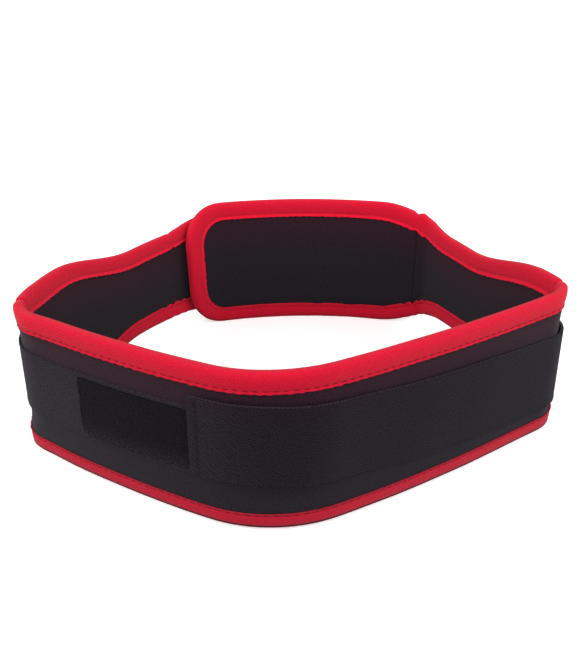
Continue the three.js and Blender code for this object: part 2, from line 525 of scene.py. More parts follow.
def speckled(tree, colour, painted_lights, pattern, spread, contrast):
    """A colour, with its painted light and shade if it has any, that a pattern makes darker and lighter."""
    speckle = add_node(
        tree,
        "ShaderNodeMapRange",
        {
            "Value": pattern,
            "From Min": spread[0],
            "From Max": spread[1],
            "To Min": 1 - contrast,
            "To Max": 1 + contrast,
        },
    ).outputs["Result"]
    base = colour
    for painted_light in painted_lights:
        measure = add_node(tree, "ShaderNodeAttribute", attribute_name=painted_light.measure).outputs["Fac"]
        share = add_node(
            tree,
            "ShaderNodeMapRange",
            {"Value": measure, "From Min": painted_light.gone * MM, "From Max": painted_light.full * MM},
            interpolation_type="SMOOTHSTEP",
        ).outputs["Result"]
        base = add_node(
            tree,
            "ShaderNodeMix",
            {"Factor": share, MIX_FIRST: base, MIX_SECOND: painted_light.colour},
            data_type="VECTOR",
        ).outputs[MIX_RESULT]
    return add_node(
        tree, "ShaderNodeVectorMath", {0: base, "Scale": speckle}, operation="SCALE"
    ).outputs["Vector"]


def woven_material(name, colour, weave, finish, *painted_lights):
    """Woven cloth: slanting ribs of thread, a slight heathering of the colour, and a soft sheen."""
    material, tree, pattern = new_material(name)
    slant = (0, 0, math.radians(weave.slant))
    turned = add_node(tree, "ShaderNodeMapping", {"Vector": pattern, "Rotation": slant}).outputs["Vector"]
    ribs = add_node(
        tree,
        "ShaderNodeTexWave",
        {
            "Vector": turned,
            "Scale": band_scale(weave.rib),
            "Distortion": RIB_WAVER,
            "Detail": RIB_DETAIL,
            "Detail Scale": RIB_DETAIL_SCALE,
        },
    ).outputs["Fac"]
    heather = add_node(
        tree,
        "ShaderNodeTexNoise",
        {
            "Vector": pattern,
            "Scale": grain_scale(HEATHER),
            "Detail": HEATHER_DETAIL,
            "Roughness": NOISE_ROUGHNESS,
        },
    ).outputs["Fac"]
    mixed = add_node(
        tree, "ShaderNodeMix", {"Factor": HEATHER_SHARE, "A": ribs, "B": heather}, data_type="FLOAT"
    ).outputs["Result"]
    tone = speckled(tree, colour, painted_lights, mixed, THREAD_SPREAD, finish.contrast)
    finish_material(tree, tone, ribs, RIB_BUMP, finish, THREAD_SHEEN_ROUGHNESS)
    return material


def fuzzy_material(name, colour, fibre, finish, *painted_lights):
    """Napped or looped cloth: no ribs, only the speckle of fibres of a size in mm."""
    material, tree, pattern = new_material(name)
    fibres = add_node(
        tree,
        "ShaderNodeTexNoise",
        {
            "Vector": pattern,
            "Scale": grain_scale(fibre),
            "Detail": FIBRE_DETAIL,
            "Roughness": NOISE_ROUGHNESS,
        },
    ).outputs["Fac"]
    tone = speckled(tree, colour, painted_lights, fibres, FIBRE_SPREAD, finish.contrast)
    finish_material(tree, tone, fibres, FIBRE_BUMP, finish, FIBRE_SHEEN_ROUGHNESS)
    return material


# Foam panel

# The black cloths are painted redder towards the red top tape, as painted red light bounced from the tape:
# fully, and not any more, in mm below the top edge.
PAINTED_BOUNCE_FULL = 14
PAINTED_BOUNCE_GONE = 48
# How far the panel's cut edge is inside the fold of the tape, in mm.
PANEL_INSET = 2.5
PANEL_COLUMNS = 1100
PANEL_ROWS = 32
# The tape's seam squeezes the foam along the edge: how far in from it, how much, and how widely, in mm.
SEAM_DEPTH = 9.0
SEAM_SQUEEZE = 0.75
SEAM_SPREAD = 4.5
# The fold that the panel keeps at the back on the right shows as a thin line inside: its place, depth
# and width, in mm.
CREASE_AT = 386.5
CREASE_DEPTH = 1.2
CREASE_WIDTH = 0.8
# Polyester knit laminated on foam: matte, with the faint speckle of a fine knit and some nap that
# catches the light at a grazing angle. The knit is finer than a pixel, so it is drawn at 0.8 mm.
KNIT_FIBRE = 0.8
KNIT = Finish(relief=0.3, contrast=0.55, roughness=0.9, gloss=0.1, sheen=0.08)


def panel_low(s):
    """The panel's lower edge at s, with the round corners of its ends."""
    radius = END_CORNER - PANEL_INSET
    reach = min(s - LEFT_END, RIGHT_END - s) - PANEL_INSET
    return dip_at(s) + PANEL_INSET + corner_cut(reach, radius)


class BeltPanelSettings(bpy.types.PropertyGroup):
    """The padded panel"""

    thickness: FloatProperty(
        name="Thickness",
        description="Thickness of the foam with its cloth",
        default=5.4 * MM,
        min=2 * MM,
        max=12 * MM,
        unit="LENGTH",
    )
    colour: FloatVectorProperty(
        name="Cloth",
        description="Colour of the knitted cloth on the foam",
        subtype="COLOR",
        default=linear("#1f1a21"),
        min=0,
        max=1,
    )
    # Painted light: red light bounced from the top tape, painted into the cloth's colour below it.
    painted_bounce: FloatVectorProperty(
        name="Cloth by the tape",
        description="Colour of the cloth just below the red top tape, which is redder",
        subtype="COLOR",
        default=linear("#2a151f"),
        min=0,
        max=1,
    )


class BELT_OT_panel(bpy.types.Operator):
    """Builds the padded foam panel"""

    bl_idname = "belt.panel"
    bl_label = "Foam panel"

    def execute(self, context):
        settings = context.scene.belt_panel
        half = settings.thickness / MM / 2

        def place(s, up, out):
            low = panel_low(s)
            z = lerp(low, BELT_HEIGHT - low, up)
            depth = min(z - low, BELT_HEIGHT - low - z) + PANEL_INSET
            depth = min(depth, s - LEFT_END, RIGHT_END - s)
            squeezed = half - SEAM_SQUEEZE * hump(depth, SEAM_DEPTH, SEAM_SPREAD)
            if out:
                return s, squeezed, z
            return s, CREASE_DEPTH * hump(s, CREASE_AT, CREASE_WIDTH) - squeezed, z

        bm = flat_block(LEFT_END + PANEL_INSET, RIGHT_END - PANEL_INSET, PANEL_COLUMNS, PANEL_ROWS)
        wrap_block(bm, place)
        # The knit is painted redder below the top tape: painted red light bounced from the tape.
        painted_bounce = PaintedLight(settings.painted_bounce, PAINTED_BOUNCE_FULL, PAINTED_BOUNCE_GONE)
        knit = fuzzy_material("polyester_knit_on_foam", settings.colour, KNIT_FIBRE, KNIT, painted_bounce)
        panel = add_piece(bm, "foam_panel_padded", knit, "foam_panel")
        return {"FINISHED"}


# Edge tape

TAPE_COLUMNS = 1700
TAPE_ROWS = 20
# Where the tape's ends meet, points closer than this are welded, in mm.
TAPE_WELD = 0.02
# Polyester twill tape: steep fine ribs, bright where the crown turns to the light. The real ribs
# are about 0.8 mm apart and are drawn a little coarser so that they show.
TWILL_WEAVE = Weave(rib=0.95, slant=60)
TWILL = Finish(relief=0.25, contrast=0.2, roughness=0.7, gloss=0.1, sheen=0.06)
# Spun polyester thread of a darker red, pulled tight. Its twist is drawn as fibres of this size, in mm.
THREAD_FIBRE = 0.4
RED_THREAD = Finish(relief=0.1, contrast=0.3, roughness=0.7, gloss=0.1, sheen=0.02)


class SectionPoint(NamedTuple):
    """A point of the folded tape: depth in from the edge, and height over the panel's face."""

    depth: float
    over: float


# The folded tape on each face, from the end of its leg to the crown: the leg's end is a lip that
# flares, the seam pulls it into the foam, and between seam and crown it is puffed, less so inside.
OUTER_LEG = (
    SectionPoint(12.6, 0.8),
    SectionPoint(12.1, 0.65),
    SectionPoint(11.5, 0.2),
    SectionPoint(11.0, -0.15),
    SectionPoint(10.1, 0.35),
    SectionPoint(7.4, 0.8),
    SectionPoint(4.8, 0.95),
    SectionPoint(2.2, 0.7),
    SectionPoint(0.6, -0.6),
)
INNER_LEG = (
    SectionPoint(11.7, 0.8),
    SectionPoint(11.0, 0.65),
    SectionPoint(10.0, 0.3),
    SectionPoint(9.0, 0.02),
    SectionPoint(8.1, 0.5),
    SectionPoint(6.0, 0.75),
    SectionPoint(3.9, 0.8),
    SectionPoint(1.7, 0.55),
    SectionPoint(0.4, -0.7),
)
OUTER_SEAM = 11.0
INNER_SEAM = 9.0
# The outer leg is folded a little narrower along the bottom. Round the ends it changes to the top's
# width over this part of the height.
BOTTOM_FOLD = 0.9
FOLD_CHANGE = (0.3, 0.7)
# The inner leg is folded a little wider than its section says, and wider still by the corners and at
# the inner end.
INNER_FOLD = 1.05
INNER_END_FOLD = 1.26


class WideFold(NamedTuple):
    """A place where the tape's inner leg is folded wider, as a share of its width."""

    s: float
    reach: float
    extra: float


WIDE_FOLDS = (
    WideFold(-205, 30, 0.24),
    WideFold(255, 65, 0.18),
    WideFold(392, 25, 0.14),
)
# The bottom edge's outer leg is tucked in towards the panel, in mm.
BOTTOM_TUCK = 1.6
# The outside of the tape is painted darker along the bottom: painted shade. How far below the belt's top the
# painted shade is, in mm: fully, and not at all.
LOW_SHADE_FULL = 80
LOW_SHADE_GONE = 60
# The lip at the end of the tape's inner leg is painted lighter: a painted highlight. Across the tape from its
# outer edge: fully, and not yet, in mm.
LIP_HIGHLIGHT_FULL = 27.5
LIP_HIGHLIGHT_GONE = 24.5
# On the inner end, at the back, the crown of the top edge is puffed up over the panel, in mm. It grows
# over this stretch of the belt.
BACK_CROWN = 1.1
BACK_FROM = (300, 380)


class Ripple(NamedTuple):
    """How far the tape's lip is moved, in mm: by its ruffle, by each stitch, and by 1 mm of pucker."""

    ruffle: float
    stitch: float
    pucker: float

    def move(self, ruffle, stitch, pucker):
        return self.ruffle * ruffle + self.stitch * stitch + self.pucker * pucker


# The ripple of the lip in from the edge, and outwards from the panel.
LIP_IN = Ripple(ruffle=0.25, stitch=0.1, pucker=-1.2)
LIP_OUT = Ripple(ruffle=0.25, stitch=0.15, pucker=0.3)
# How far the crown sinks towards the panel by 1 mm of pucker.
CROWN_SINK = 0.5
# The length of a ruffle in mm, how many there are across the tape, and its place in the noise.
RUFFLE_LENGTH = 3.5
RUFFLES_ACROSS = 3
RUFFLE_SEED = 7


def fold_share(point, side):
    """How wide the tape's leg is folded on a side of the panel, as a share of its section's width."""
    if side > 0:
        low, high = (BELT_HEIGHT * part for part in FOLD_CHANGE)
        return lerp(BOTTOM_FOLD, 1, ease(point.z, low, high))
    wide = INNER_FOLD + sum(fold.extra * hump(point.s, fold.s, fold.reach) for fold in WIDE_FOLDS)
    return lerp(wide, INNER_END_FOLD, max(0, -point.in_s))


def crown_rise(point):
    """How far the tape's crown stands over the edge of the panel's outline."""
    return BACK_CROWN * ease(point.s, *BACK_FROM) * max(0, -point.in_z)


class Pucker(NamedTuple):
    """A place where the tape is bunched across its crown."""

    edge: str
    s: float
    depth: float
    width: float


PUCKERS = (
    Pucker("top", -184, 2.2, 1.2),
    Pucker("top", -177, -0.9, 3.5),
    Pucker("top", 225, 1.9, 1.2),
    Pucker("top", 219, -0.7, 3.0),
    Pucker("top", 383, -1.2, 2.0),
    Pucker("top", 388, 1.4, 1.4),
    Pucker("top", -357, 1.2, 1.4),
    Pucker("bottom", 372, 1.2, 1.6),
    Pucker("bottom", 379, 1.9, 1.6),
    Pucker("bottom", 386, 2.1, 1.6),
    Pucker("bottom", 393, 1.2, 1.6),
    Pucker("bottom", -343, 1.0, 2.0),
    Pucker("bottom", -352, 1.6, 2.0),
    Pucker("bottom", -361, 1.8, 2.0),
    Pucker("bottom", -369, 1.2, 2.0),
    Pucker("bottom", 410, 0.5, 5.0),
    Pucker("bottom", 440, 0.6, 6.0),
    Pucker("bottom", 468, 0.5, 5.0),
    Pucker("bottom", -180, 0.5, 3.0),
    Pucker("bottom", 216, 0.5, 3.0),
)
# The share of a pucker that reaches the crown: at the bottom it is mostly the lip that ripples.
PUCKERED_CROWN = {"top": 1, "bottom": 0.35}


def puckering(point):
    """How deep the tape is bunched at a point of the belt's edge: at its lip, and at its crown."""
    edge = "top" if point.z > BELT_HEIGHT / 2 else "bottom"
    bunched = sum(p.depth * hump(point.s, p.s, p.width) for p in PUCKERS if p.edge == edge)
    return bunched, bunched * PUCKERED_CROWN[edge]


def spline(rows, t):
    """A smooth curve through evenly spaced rows, from the first at 0 to the last at 1."""
    last = len(rows) - 1
    i = min(int(t * last), last - 1)
    x = t * last - i
    before, a, b, after = (Vector(rows[min(max(k, 0), last)]) for k in range(i - 1, i + 3))
    rise = (b - before) * x + (before * 2 - a * 5 + b * 4 - after) * x**2
    return a + (rise + (a * 3 - before - b * 3 + after) * x**3) / 2


def tape_section(half):
    """The folded tape's rows from its outer leg over the crown to its inner leg: depth and level."""
    outer = [(point.depth, half + point.over) for point in OUTER_LEG]
    inner = [(point.depth, -half - point.over) for point in reversed(INNER_LEG)]
    return outer + [(0, 0)] + inner


def tape_point(distance, across, section, stitches):
    """A point of the folded tape on the pattern, at a distance round the edge and a share across it."""
    point = edge_at(distance)
    depth, level = spline(section, across)
    side = math.copysign(1, level)
    seam = OUTER_SEAM if side > 0 else INNER_SEAM
    leg = (OUTER_LEG if side > 0 else INNER_LEG)[0].depth
    crown = max(0, 1 - depth / seam)
    lip = max(0, (depth - seam) / (leg - seam))
    bunched, sunk = puckering(point)
    stitch = math.cos(2 * math.pi * stitches * distance / EDGE_LENGTH)
    ruffle = noise.noise(Vector((distance / RUFFLE_LENGTH, across * RUFFLES_ACROSS, RUFFLE_SEED)))
    depth += crown * (sunk - crown_rise(point)) + lip * LIP_IN.move(ruffle, stitch, bunched)
    level += side * (lip * LIP_OUT.move(ruffle, stitch, bunched) - CROWN_SINK * sunk * crown)
    if side > 0:
        level -= BOTTOM_TUCK * crown * max(0, point.in_z)
    depth *= fold_share(point, side)
    return point.s + depth * point.in_s, level, point.z + depth * point.in_z


def tape_block(half, tape_width, thickness, stitches):
    """The folded tape on the loop, with its flat length and width as its UV map."""
    section = tape_section(half)
    bm = bmesh.new()
    bmesh.ops.create_grid(bm, x_segments=TAPE_COLUMNS, y_segments=TAPE_ROWS, size=0.5)
    bmesh.ops.translate(bm, verts=bm.verts, vec=(0.5, 0.5, 0))
    uv = bm.loops.layers.uv.new(PATTERN_UV)
    for face in bm.faces:
        for loop in face.loops:
            x, y, _ = loop.vert.co
            loop[uv].uv = (x * EDGE_LENGTH * MM, y * tape_width * MM)
    below = bm.verts.layers.float.new(BELOW_EDGE)
    across = bm.verts.layers.float.new(ACROSS_TAPE)
    for vert in bm.verts:
        vert[across] = vert.co.y * tape_width * MM
        s, level, z = tape_point(vert.co.x * EDGE_LENGTH, vert.co.y, section, stitches)
        vert[below] = (BELT_HEIGHT - z) * MM if level > 0 else 0
        vert.co = wrap(s, level, z)
    bmesh.ops.remove_doubles(bm, verts=bm.verts, dist=TAPE_WELD * MM)
    bmesh.ops.solidify(bm, geom=bm.faces[:], thickness=thickness * MM)
    return bm


class SeamRun(NamedTuple):
    """A run of the tape's seam: the side of the panel, its ends round the edge, and its thread in mm."""

    side: int
    start: float
    end: float
    thread: float

    def at(self, distance, half):
        """The seam's place on the pattern at a distance round the edge."""
        point = edge_at(distance)
        seam = OUTER_SEAM if self.side > 0 else INNER_SEAM
        depth = seam * fold_share(point, self.side)
        return point.s + depth * point.in_s, self.side * (half + STITCH_LIFT), point.z + depth * point.in_z


# The seam shows most along the top of the outside, where its thread is drawn thicker.
SEAM_RUNS = (
    SeamRun(1, -HALF_END, TOP_LENGTH + HALF_END, 0.7),
    SeamRun(1, TOP_LENGTH + HALF_END, EDGE_LENGTH - HALF_END, 0.45),
    SeamRun(-1, 0, EDGE_LENGTH, 0.35),
)


class BeltTapeSettings(bpy.types.PropertyGroup):
    """The tape that binds the edge"""

    thickness: FloatProperty(
        name="Thickness",
        description="Thickness of the woven tape",
        default=0.7 * MM,
        min=0.2 * MM,
        max=2 * MM,
        unit="LENGTH",
    )
    stitch: FloatProperty(
        name="Stitch",
        description="Length of one stitch of the seam with its gap",
        default=5.3 * MM,
        min=2 * MM,
        max=10 * MM,
        unit="LENGTH",
    )
    colour: FloatVectorProperty(
        name="Tape",
        description="Colour of the woven tape",
        subtype="COLOR",
        default=linear("#cf052b"),
        min=0,
        max=1,
    )
    # Painted shade: the outside of the tape is painted darker along the bottom.
    painted_low_shade: FloatVectorProperty(
        name="Dulled tape",
        description="Colour of the outside of the tape along the bottom, which is duller",
        subtype="COLOR",
        default=linear("#b30d2a"),
        min=0,
        max=1,
    )
    # Painted highlight: the lip at the end of the tape's inner leg is painted lighter.
    painted_lip_highlight: FloatVectorProperty(
        name="Selvage",
        description="Colour of the tape's inner selvage, past the seam",
        subtype="COLOR",
        default=linear("#ea0b32"),
        min=0,
        max=1,
    )
    thread: FloatVectorProperty(
        name="Thread",
        description="Colour of the seam's thread",
        subtype="COLOR",
        default=linear("#7c0819"),
        min=0,
        max=1,
    )


class BELT_OT_tape(bpy.types.Operator):
    """Builds the tape folded over the edge and its seam"""

    bl_idname = "belt.tape"
    bl_label = "Edge tape"

    def execute(self, context):
        settings = context.scene.belt_tape
        half = context.scene.belt_panel.thickness / MM / 2
        thickness = settings.thickness / MM
        stitches = round(EDGE_LENGTH / (settings.stitch / MM))
        tape_width = OUTER_LEG[0].depth + INNER_LEG[0].depth + 2 * half

        bm = tape_block(half, tape_width, thickness, stitches)
        # Painted shade along the bottom of the tape's outside, and a painted highlight on its inner lip.
        painted_low_shade = PaintedLight(settings.painted_low_shade, LOW_SHADE_FULL, LOW_SHADE_GONE)
        painted_lip_highlight = PaintedLight(settings.painted_lip_highlight, LIP_HIGHLIGHT_FULL, LIP_HIGHLIGHT_GONE, ACROSS_TAPE)
        twill = woven_material("polyester_twill_tape", settings.colour, TWILL_WEAVE, TWILL, painted_low_shade, painted_lip_highlight)
        tape = add_piece(bm, "edge_tape_folded", twill, "edge_tape")

        seam = bmesh.new()
        for run in SEAM_RUNS:
            place = functools.partial(run.at, half=half)
            sew(seam, place, run.start, run.end, EDGE_LENGTH / stitches, run.thread)
        thread = fuzzy_material("spun_polyester_thread_red", settings.thread, THREAD_FIBRE, RED_THREAD)
        thread_piece = add_piece(seam, "edge_tape_seam", thread)
        return {"FINISHED"}


# Straps and fasteners


class Layer(NamedTuple):
    """A flat piece on the panel: its reach along s, its width, and its middle's height at both ends."""

    start: float
    end: float
    width: float
    middle_start: float
    middle_end: float

    def middle(self, s):
        return lerp(self.middle_start, self.middle_end, (s - self.start) / (self.end - self.start))


# The gap between one layer and the next, in mm.
GAP = 0.3
BASE_STRAP = Layer(-280, 8, 43.5, 51.3, 52.2)
LOOP_PATCH = Layer(-120.5, -6, 39, 51.7, 52.7)
STRAP_HOOK = Layer(-39.5, -10, 36, 54.5, 54)
END_FASTENER = Layer(424, 540, 54, 50, 50)
# Flat pieces are divided into squares of about this size, and the pile into finer ones, in mm.
LAYER_STEP = 2.0
PILE_STEP = 0.8
# How far each flat piece's rim is rounded, in mm.
BASE_RIM = 0.4
STRAP_RIM = 0.25
PATCH_RIM = 0.5
HOOK_RIM = 0.3
FASTENER_RIM = 0.6
PATCH_CORNER = 8
# How far the pile's face is uneven, the size of that in mm, and its place in the noise.
PILE_FUZZ = 0.5
PILE_GRAIN = 1.1
PILE_SEED = 3
# The patch's pile is painted lighter towards its lower edge, as painted light bounced up from the floor. How
# far below the belt's top edge, in mm: fully, and not any more.
PAINTED_UPLIGHT_FULL = 72
PAINTED_UPLIGHT_GONE = 54
STRAP_COLUMNS = 240
STRAP_ROWS = 34
STRAP_CORNER = 2.5
# Past the patch the strap comes down to the panel over this stretch, and stays this far off it, in mm.
STRAP_DOWN = (12, 62)
STRAP_SLACK = 0.8
# The strap's lift tips it about a line at this share of its width from its lower edge.
LIFT_LINE = 0.4
# Towards the corner the strap is pulled tight, and keeps only this share of its lift.
STRAP_TIGHT = (140, 200)
CORNER_LIFT = 0.1
# The free end is folded into a hem that thins out over its last part, with seams at these distances.
HEM_LENGTH = 5.6
HEM_THICKNESS = 0.5
HEM_FADE = 1.5
HEM_SEAMS = (1.9, 4.6)
# The sewn end is held by two rows at these distances from it.
TACK_SEAMS = (3, 16)
# The straps' stitches: pitch, thread, and how far the rows stay from the ends and edges, in mm.
STRAP_PITCH = 3.2
STRAP_THREAD = 0.5
ROW_INSET = 3
EDGE_INSET = 2
# The base strap's rows stop just short of the front's middle, under the tightening strap.
BASE_ROWS_END = -2
# Brushed strap cloth: smoother and greyer than the panel, with a short nap. The nap is finer than a
# pixel, so it is drawn at 0.9 mm.
BRUSHED_FIBRE = 0.9
BRUSHED = Finish(relief=0.25, contrast=0.6, roughness=0.85, gloss=0.03, sheen=0.06)
# Elastic twill webbing: slanting ribs that show as fine, broken diagonal lines, matte, with a soft sheen.
# The real ribs are about 1 mm apart and are drawn a little coarser so that they show.
WEBBING_WEAVE = Weave(rib=1.3, slant=-48)
WEBBING = Finish(relief=0.4, contrast=1.0, roughness=0.85, gloss=0.02, sheen=0.08)
# Spun polyester thread in the straps' black, drawn a little lighter than them.
BLACK_THREAD = Finish(relief=0.1, contrast=0.3, roughness=0.75, gloss=0.1, sheen=0.05)
# Looped nylon pile: dark and fuzzy, with a coarse speckle of light on the loops.
PILE_FIBRE = 1.1
PILE = Finish(relief=0.6, contrast=1.0, roughness=0.95, gloss=0.1, sheen=0.02)
# Stiff woven hook tape: close rows of tiny hooks.
HOOK_WEAVE = Weave(rib=1.4, slant=0)
HOOKS = Finish(relief=0.4, contrast=0.4, roughness=0.7, gloss=0.1, sheen=0.01)


class StrapPlace(NamedTuple):
    """The heights of the tightening strap's two edges at a place along the belt."""

    s: float
    low: float
    high: float


# The elastic strap crosses the front a little askew and is widest on the flank, where it lies flat.
STRAP_COURSE = (
    StrapPlace(-41.6, 34.5, 84.0),
    StrapPlace(0, 33.5, 83.0),
    StrapPlace(40, 28.5, 79.8),
    StrapPlace(90, 22.5, 76.2),
    StrapPlace(150, 20.8, 74.8),
    StrapPlace(205, 20.0, 70.8),
    StrapPlace(280, 20.0, 70.0),
)
STRAP_START = STRAP_COURSE[0].s
STRAP_END = STRAP_COURSE[-1].s


def strap_edges(s):
    """The heights of the tightening strap's lower and upper edge at s."""
    for a, b in zip(STRAP_COURSE, STRAP_COURSE[1:]):
        if s <= b.s:
            break
    t = (s - a.s) / (b.s - a.s)
    cut = corner_cut(s - STRAP_START, STRAP_CORNER)
    return lerp(a.low, b.low, t) + cut, lerp(a.high, b.high, t) - cut


class BeltStrapSettings(bpy.types.PropertyGroup):
    """The straps"""

    base_thickness: FloatProperty(
        name="Base strap",
        description="Thickness of the strap that carries the patch",
        default=1.2 * MM,
        unit="LENGTH",
    )
    strap_thickness: FloatProperty(
        name="Tightening strap",
        description="Thickness of the elastic webbing",
        default=2.0 * MM,
        unit="LENGTH",
    )
    lift: FloatProperty(
        name="Lift",
        description="How far the strap's top edge stands off the panel past the patch",
        default=2.6 * MM,
        unit="LENGTH",
    )
    base_colour: FloatVectorProperty(
        name="Base cloth",
        description="Colour of the base strap's brushed cloth",
        subtype="COLOR",
        default=linear("#29252b"),
        min=0,
        max=1,
    )
    # Painted light: red light bounced from the top tape, painted into the base strap's colour.
    base_painted_bounce: FloatVectorProperty(
        name="Base cloth by the tape",
        description="Colour of the base strap's cloth towards the red top tape",
        subtype="COLOR",
        default=linear("#2b1f29"),
        min=0,
        max=1,
    )
    webbing_colour: FloatVectorProperty(
        name="Webbing",
        description="Colour of the tightening strap",
        subtype="COLOR",
        default=linear("#130d17"),
        min=0,
        max=1,
    )
    # Painted light: red light bounced from the top tape, painted into the webbing's colour.
    webbing_painted_bounce: FloatVectorProperty(
        name="Webbing by the tape",
        description="Colour of the tightening strap towards the red top tape",
        subtype="COLOR",
        default=linear("#1a0a15"),
        min=0,
        max=1,
    )
    thread: FloatVectorProperty(
        name="Thread",
        description="Colour of the straps' seams",
        subtype="COLOR",
        default=linear("#221f26"),
        min=0,
        max=1,
    )


class BeltFastenerSettings(bpy.types.PropertyGroup):
    """The hook-and-loop fasteners"""

    patch_thickness: FloatProperty(
        name="Loop patch",
        description="Thickness of the loop patch with its pile",
        default=1.4 * MM,
        unit="LENGTH",
    )
    hook_thickness: FloatProperty(
        name="Hook tab",
        description="Thickness of the hook tab under the strap's free end",
        default=1.0 * MM,
        unit="LENGTH",
    )
    end_thickness: FloatProperty(
        name="End fastener",
        description="Thickness of the fastener between the overlapped ends",
        default=2.7 * MM,
        unit="LENGTH",
    )
    pile_colour: FloatVectorProperty(
        name="Pile",
        description="Colour of the loop pile",
        subtype="COLOR",
        default=linear("#0f0810"),
        min=0,
        max=1,
    )
    # Painted light: light bounced up from the floor, painted into the lower part of the pile.
    painted_uplight_colour: FloatVectorProperty(
        name="Worn pile",
        description="Colour of the loop pile by its lower edge, where it is brushed thin",
        subtype="COLOR",
        default=linear("#221e25"),
        min=0,
        max=1,
    )
    hook_colour: FloatVectorProperty(
        name="Hooks",
        description="Colour of the hook tape",
        subtype="COLOR",
        default=linear("#19161a"),
        min=0,
        max=1,
    )


def levels(scene):
    """The level of each layer's inside over the middle of the panel, in mm, by name."""
    straps, fasteners = scene.belt_straps, scene.belt_fasteners
    base = scene.belt_panel.thickness / MM / 2 + GAP
    patch = base + straps.base_thickness / MM + GAP
    hook = patch + fasteners.patch_thickness / MM + GAP
    raised = hook + fasteners.hook_thickness / MM + GAP
    return {"base": base, "patch": patch, "hook": hook, "raised": raised}


def layer_block(layer, level, thickness, step=LAYER_STEP, corner=0, fuzz=0):
    """A flat piece on the panel. corner rounds the lower corner at its start; fuzz roughens its face."""

    def place(s, up, out):
        low = layer.middle(s) - layer.width / 2
        high = low + layer.width
        z = lerp(low + corner_cut(s - layer.start, corner), high, up)
        rough = fuzz * noise.noise(Vector((s / PILE_GRAIN, z / PILE_GRAIN, PILE_SEED)))
        return s, level + (thickness + rough) * out, z

    columns = round((layer.end - layer.start) / step)
    bm = flat_block(layer.start, layer.end, columns, round(layer.width / step))
    wrap_block(bm, place)
    return bm


class BELT_OT_straps(bpy.types.Operator):
    """Builds the base strap, the tightening strap and their seams"""

    bl_idname = "belt.straps"
    bl_label = "Straps"

    def execute(self, context):
        settings = context.scene.belt_straps
        level = levels(context.scene)
        base_thickness = settings.base_thickness / MM
        thickness = settings.strap_thickness / MM
        lift = settings.lift / MM
        resting = level["base"] + STRAP_SLACK
        base_top = level["base"] + base_thickness + STITCH_LIFT

        def strap_level(s, up):
            down = ease(s, *STRAP_DOWN)
            open_lift = lift * lerp(1, CORNER_LIFT, ease(s, *STRAP_TIGHT))
            return lerp(level["raised"], resting + open_lift * (up - LIFT_LINE), down)

        def strap_place(s, up, out):
            hem = HEM_THICKNESS * (1 - ease(s - STRAP_START, HEM_LENGTH - HEM_FADE, HEM_LENGTH))
            return s, strap_level(s, up) + (thickness + hem) * out, lerp(*strap_edges(s), up)

        def along_base(s, up):
            return s, base_top, BASE_STRAP.middle(s) + up * (BASE_STRAP.width / 2 - EDGE_INSET)

        def across_strap(z, s, extra):
            low, high = strap_edges(s)
            top = strap_level(s, (z - low) / (high - low)) + thickness
            return s, top + extra + STITCH_LIFT, z

        # The base strap's cloth is painted redder towards the top tape: painted red light bounced from the
        # tape.
        base_painted_bounce = PaintedLight(settings.base_painted_bounce, PAINTED_BOUNCE_FULL, PAINTED_BOUNCE_GONE)
        brushed = fuzzy_material(
            "brushed_strap_cloth", settings.base_colour, BRUSHED_FIBRE, BRUSHED, base_painted_bounce
        )
        bm = layer_block(BASE_STRAP, level["base"], base_thickness)
        base = add_piece(bm, "base_strap_cloth", brushed, "base_strap")
        round_edges(base, BASE_RIM)

        bm = flat_block(STRAP_START, STRAP_END, STRAP_COLUMNS, STRAP_ROWS)
        wrap_block(bm, strap_place)
        # The webbing is painted redder towards the top tape: painted red light bounced from the tape.
        webbing_painted_bounce = PaintedLight(settings.webbing_painted_bounce, PAINTED_BOUNCE_FULL, PAINTED_BOUNCE_GONE)
        webbing = woven_material(
            "elastic_twill_webbing", settings.webbing_colour, WEBBING_WEAVE, WEBBING, webbing_painted_bounce
        )
        tightening = add_piece(bm, "tightening_strap_webbing", webbing, "tightening_strap")
        round_edges(tightening, STRAP_RIM)

        seams = bmesh.new()
        for up in (1, -1):
            place = functools.partial(along_base, up=up)
            sew(seams, place, BASE_STRAP.start + ROW_INSET, BASE_ROWS_END, STRAP_PITCH, STRAP_THREAD)
        hem = [(STRAP_START + inset, HEM_THICKNESS) for inset in HEM_SEAMS]
        tacks = [(STRAP_END - inset, 0) for inset in TACK_SEAMS]
        for s, extra in hem + tacks:
            low, high = strap_edges(s)
            place = functools.partial(across_strap, s=s, extra=extra)
            sew(seams, place, low + ROW_INSET, high - ROW_INSET, STRAP_PITCH, STRAP_THREAD)
        thread = fuzzy_material("spun_polyester_thread_black", settings.thread, THREAD_FIBRE, BLACK_THREAD)
        seam = add_piece(seams, "strap_seams", thread)
        return {"FINISHED"}


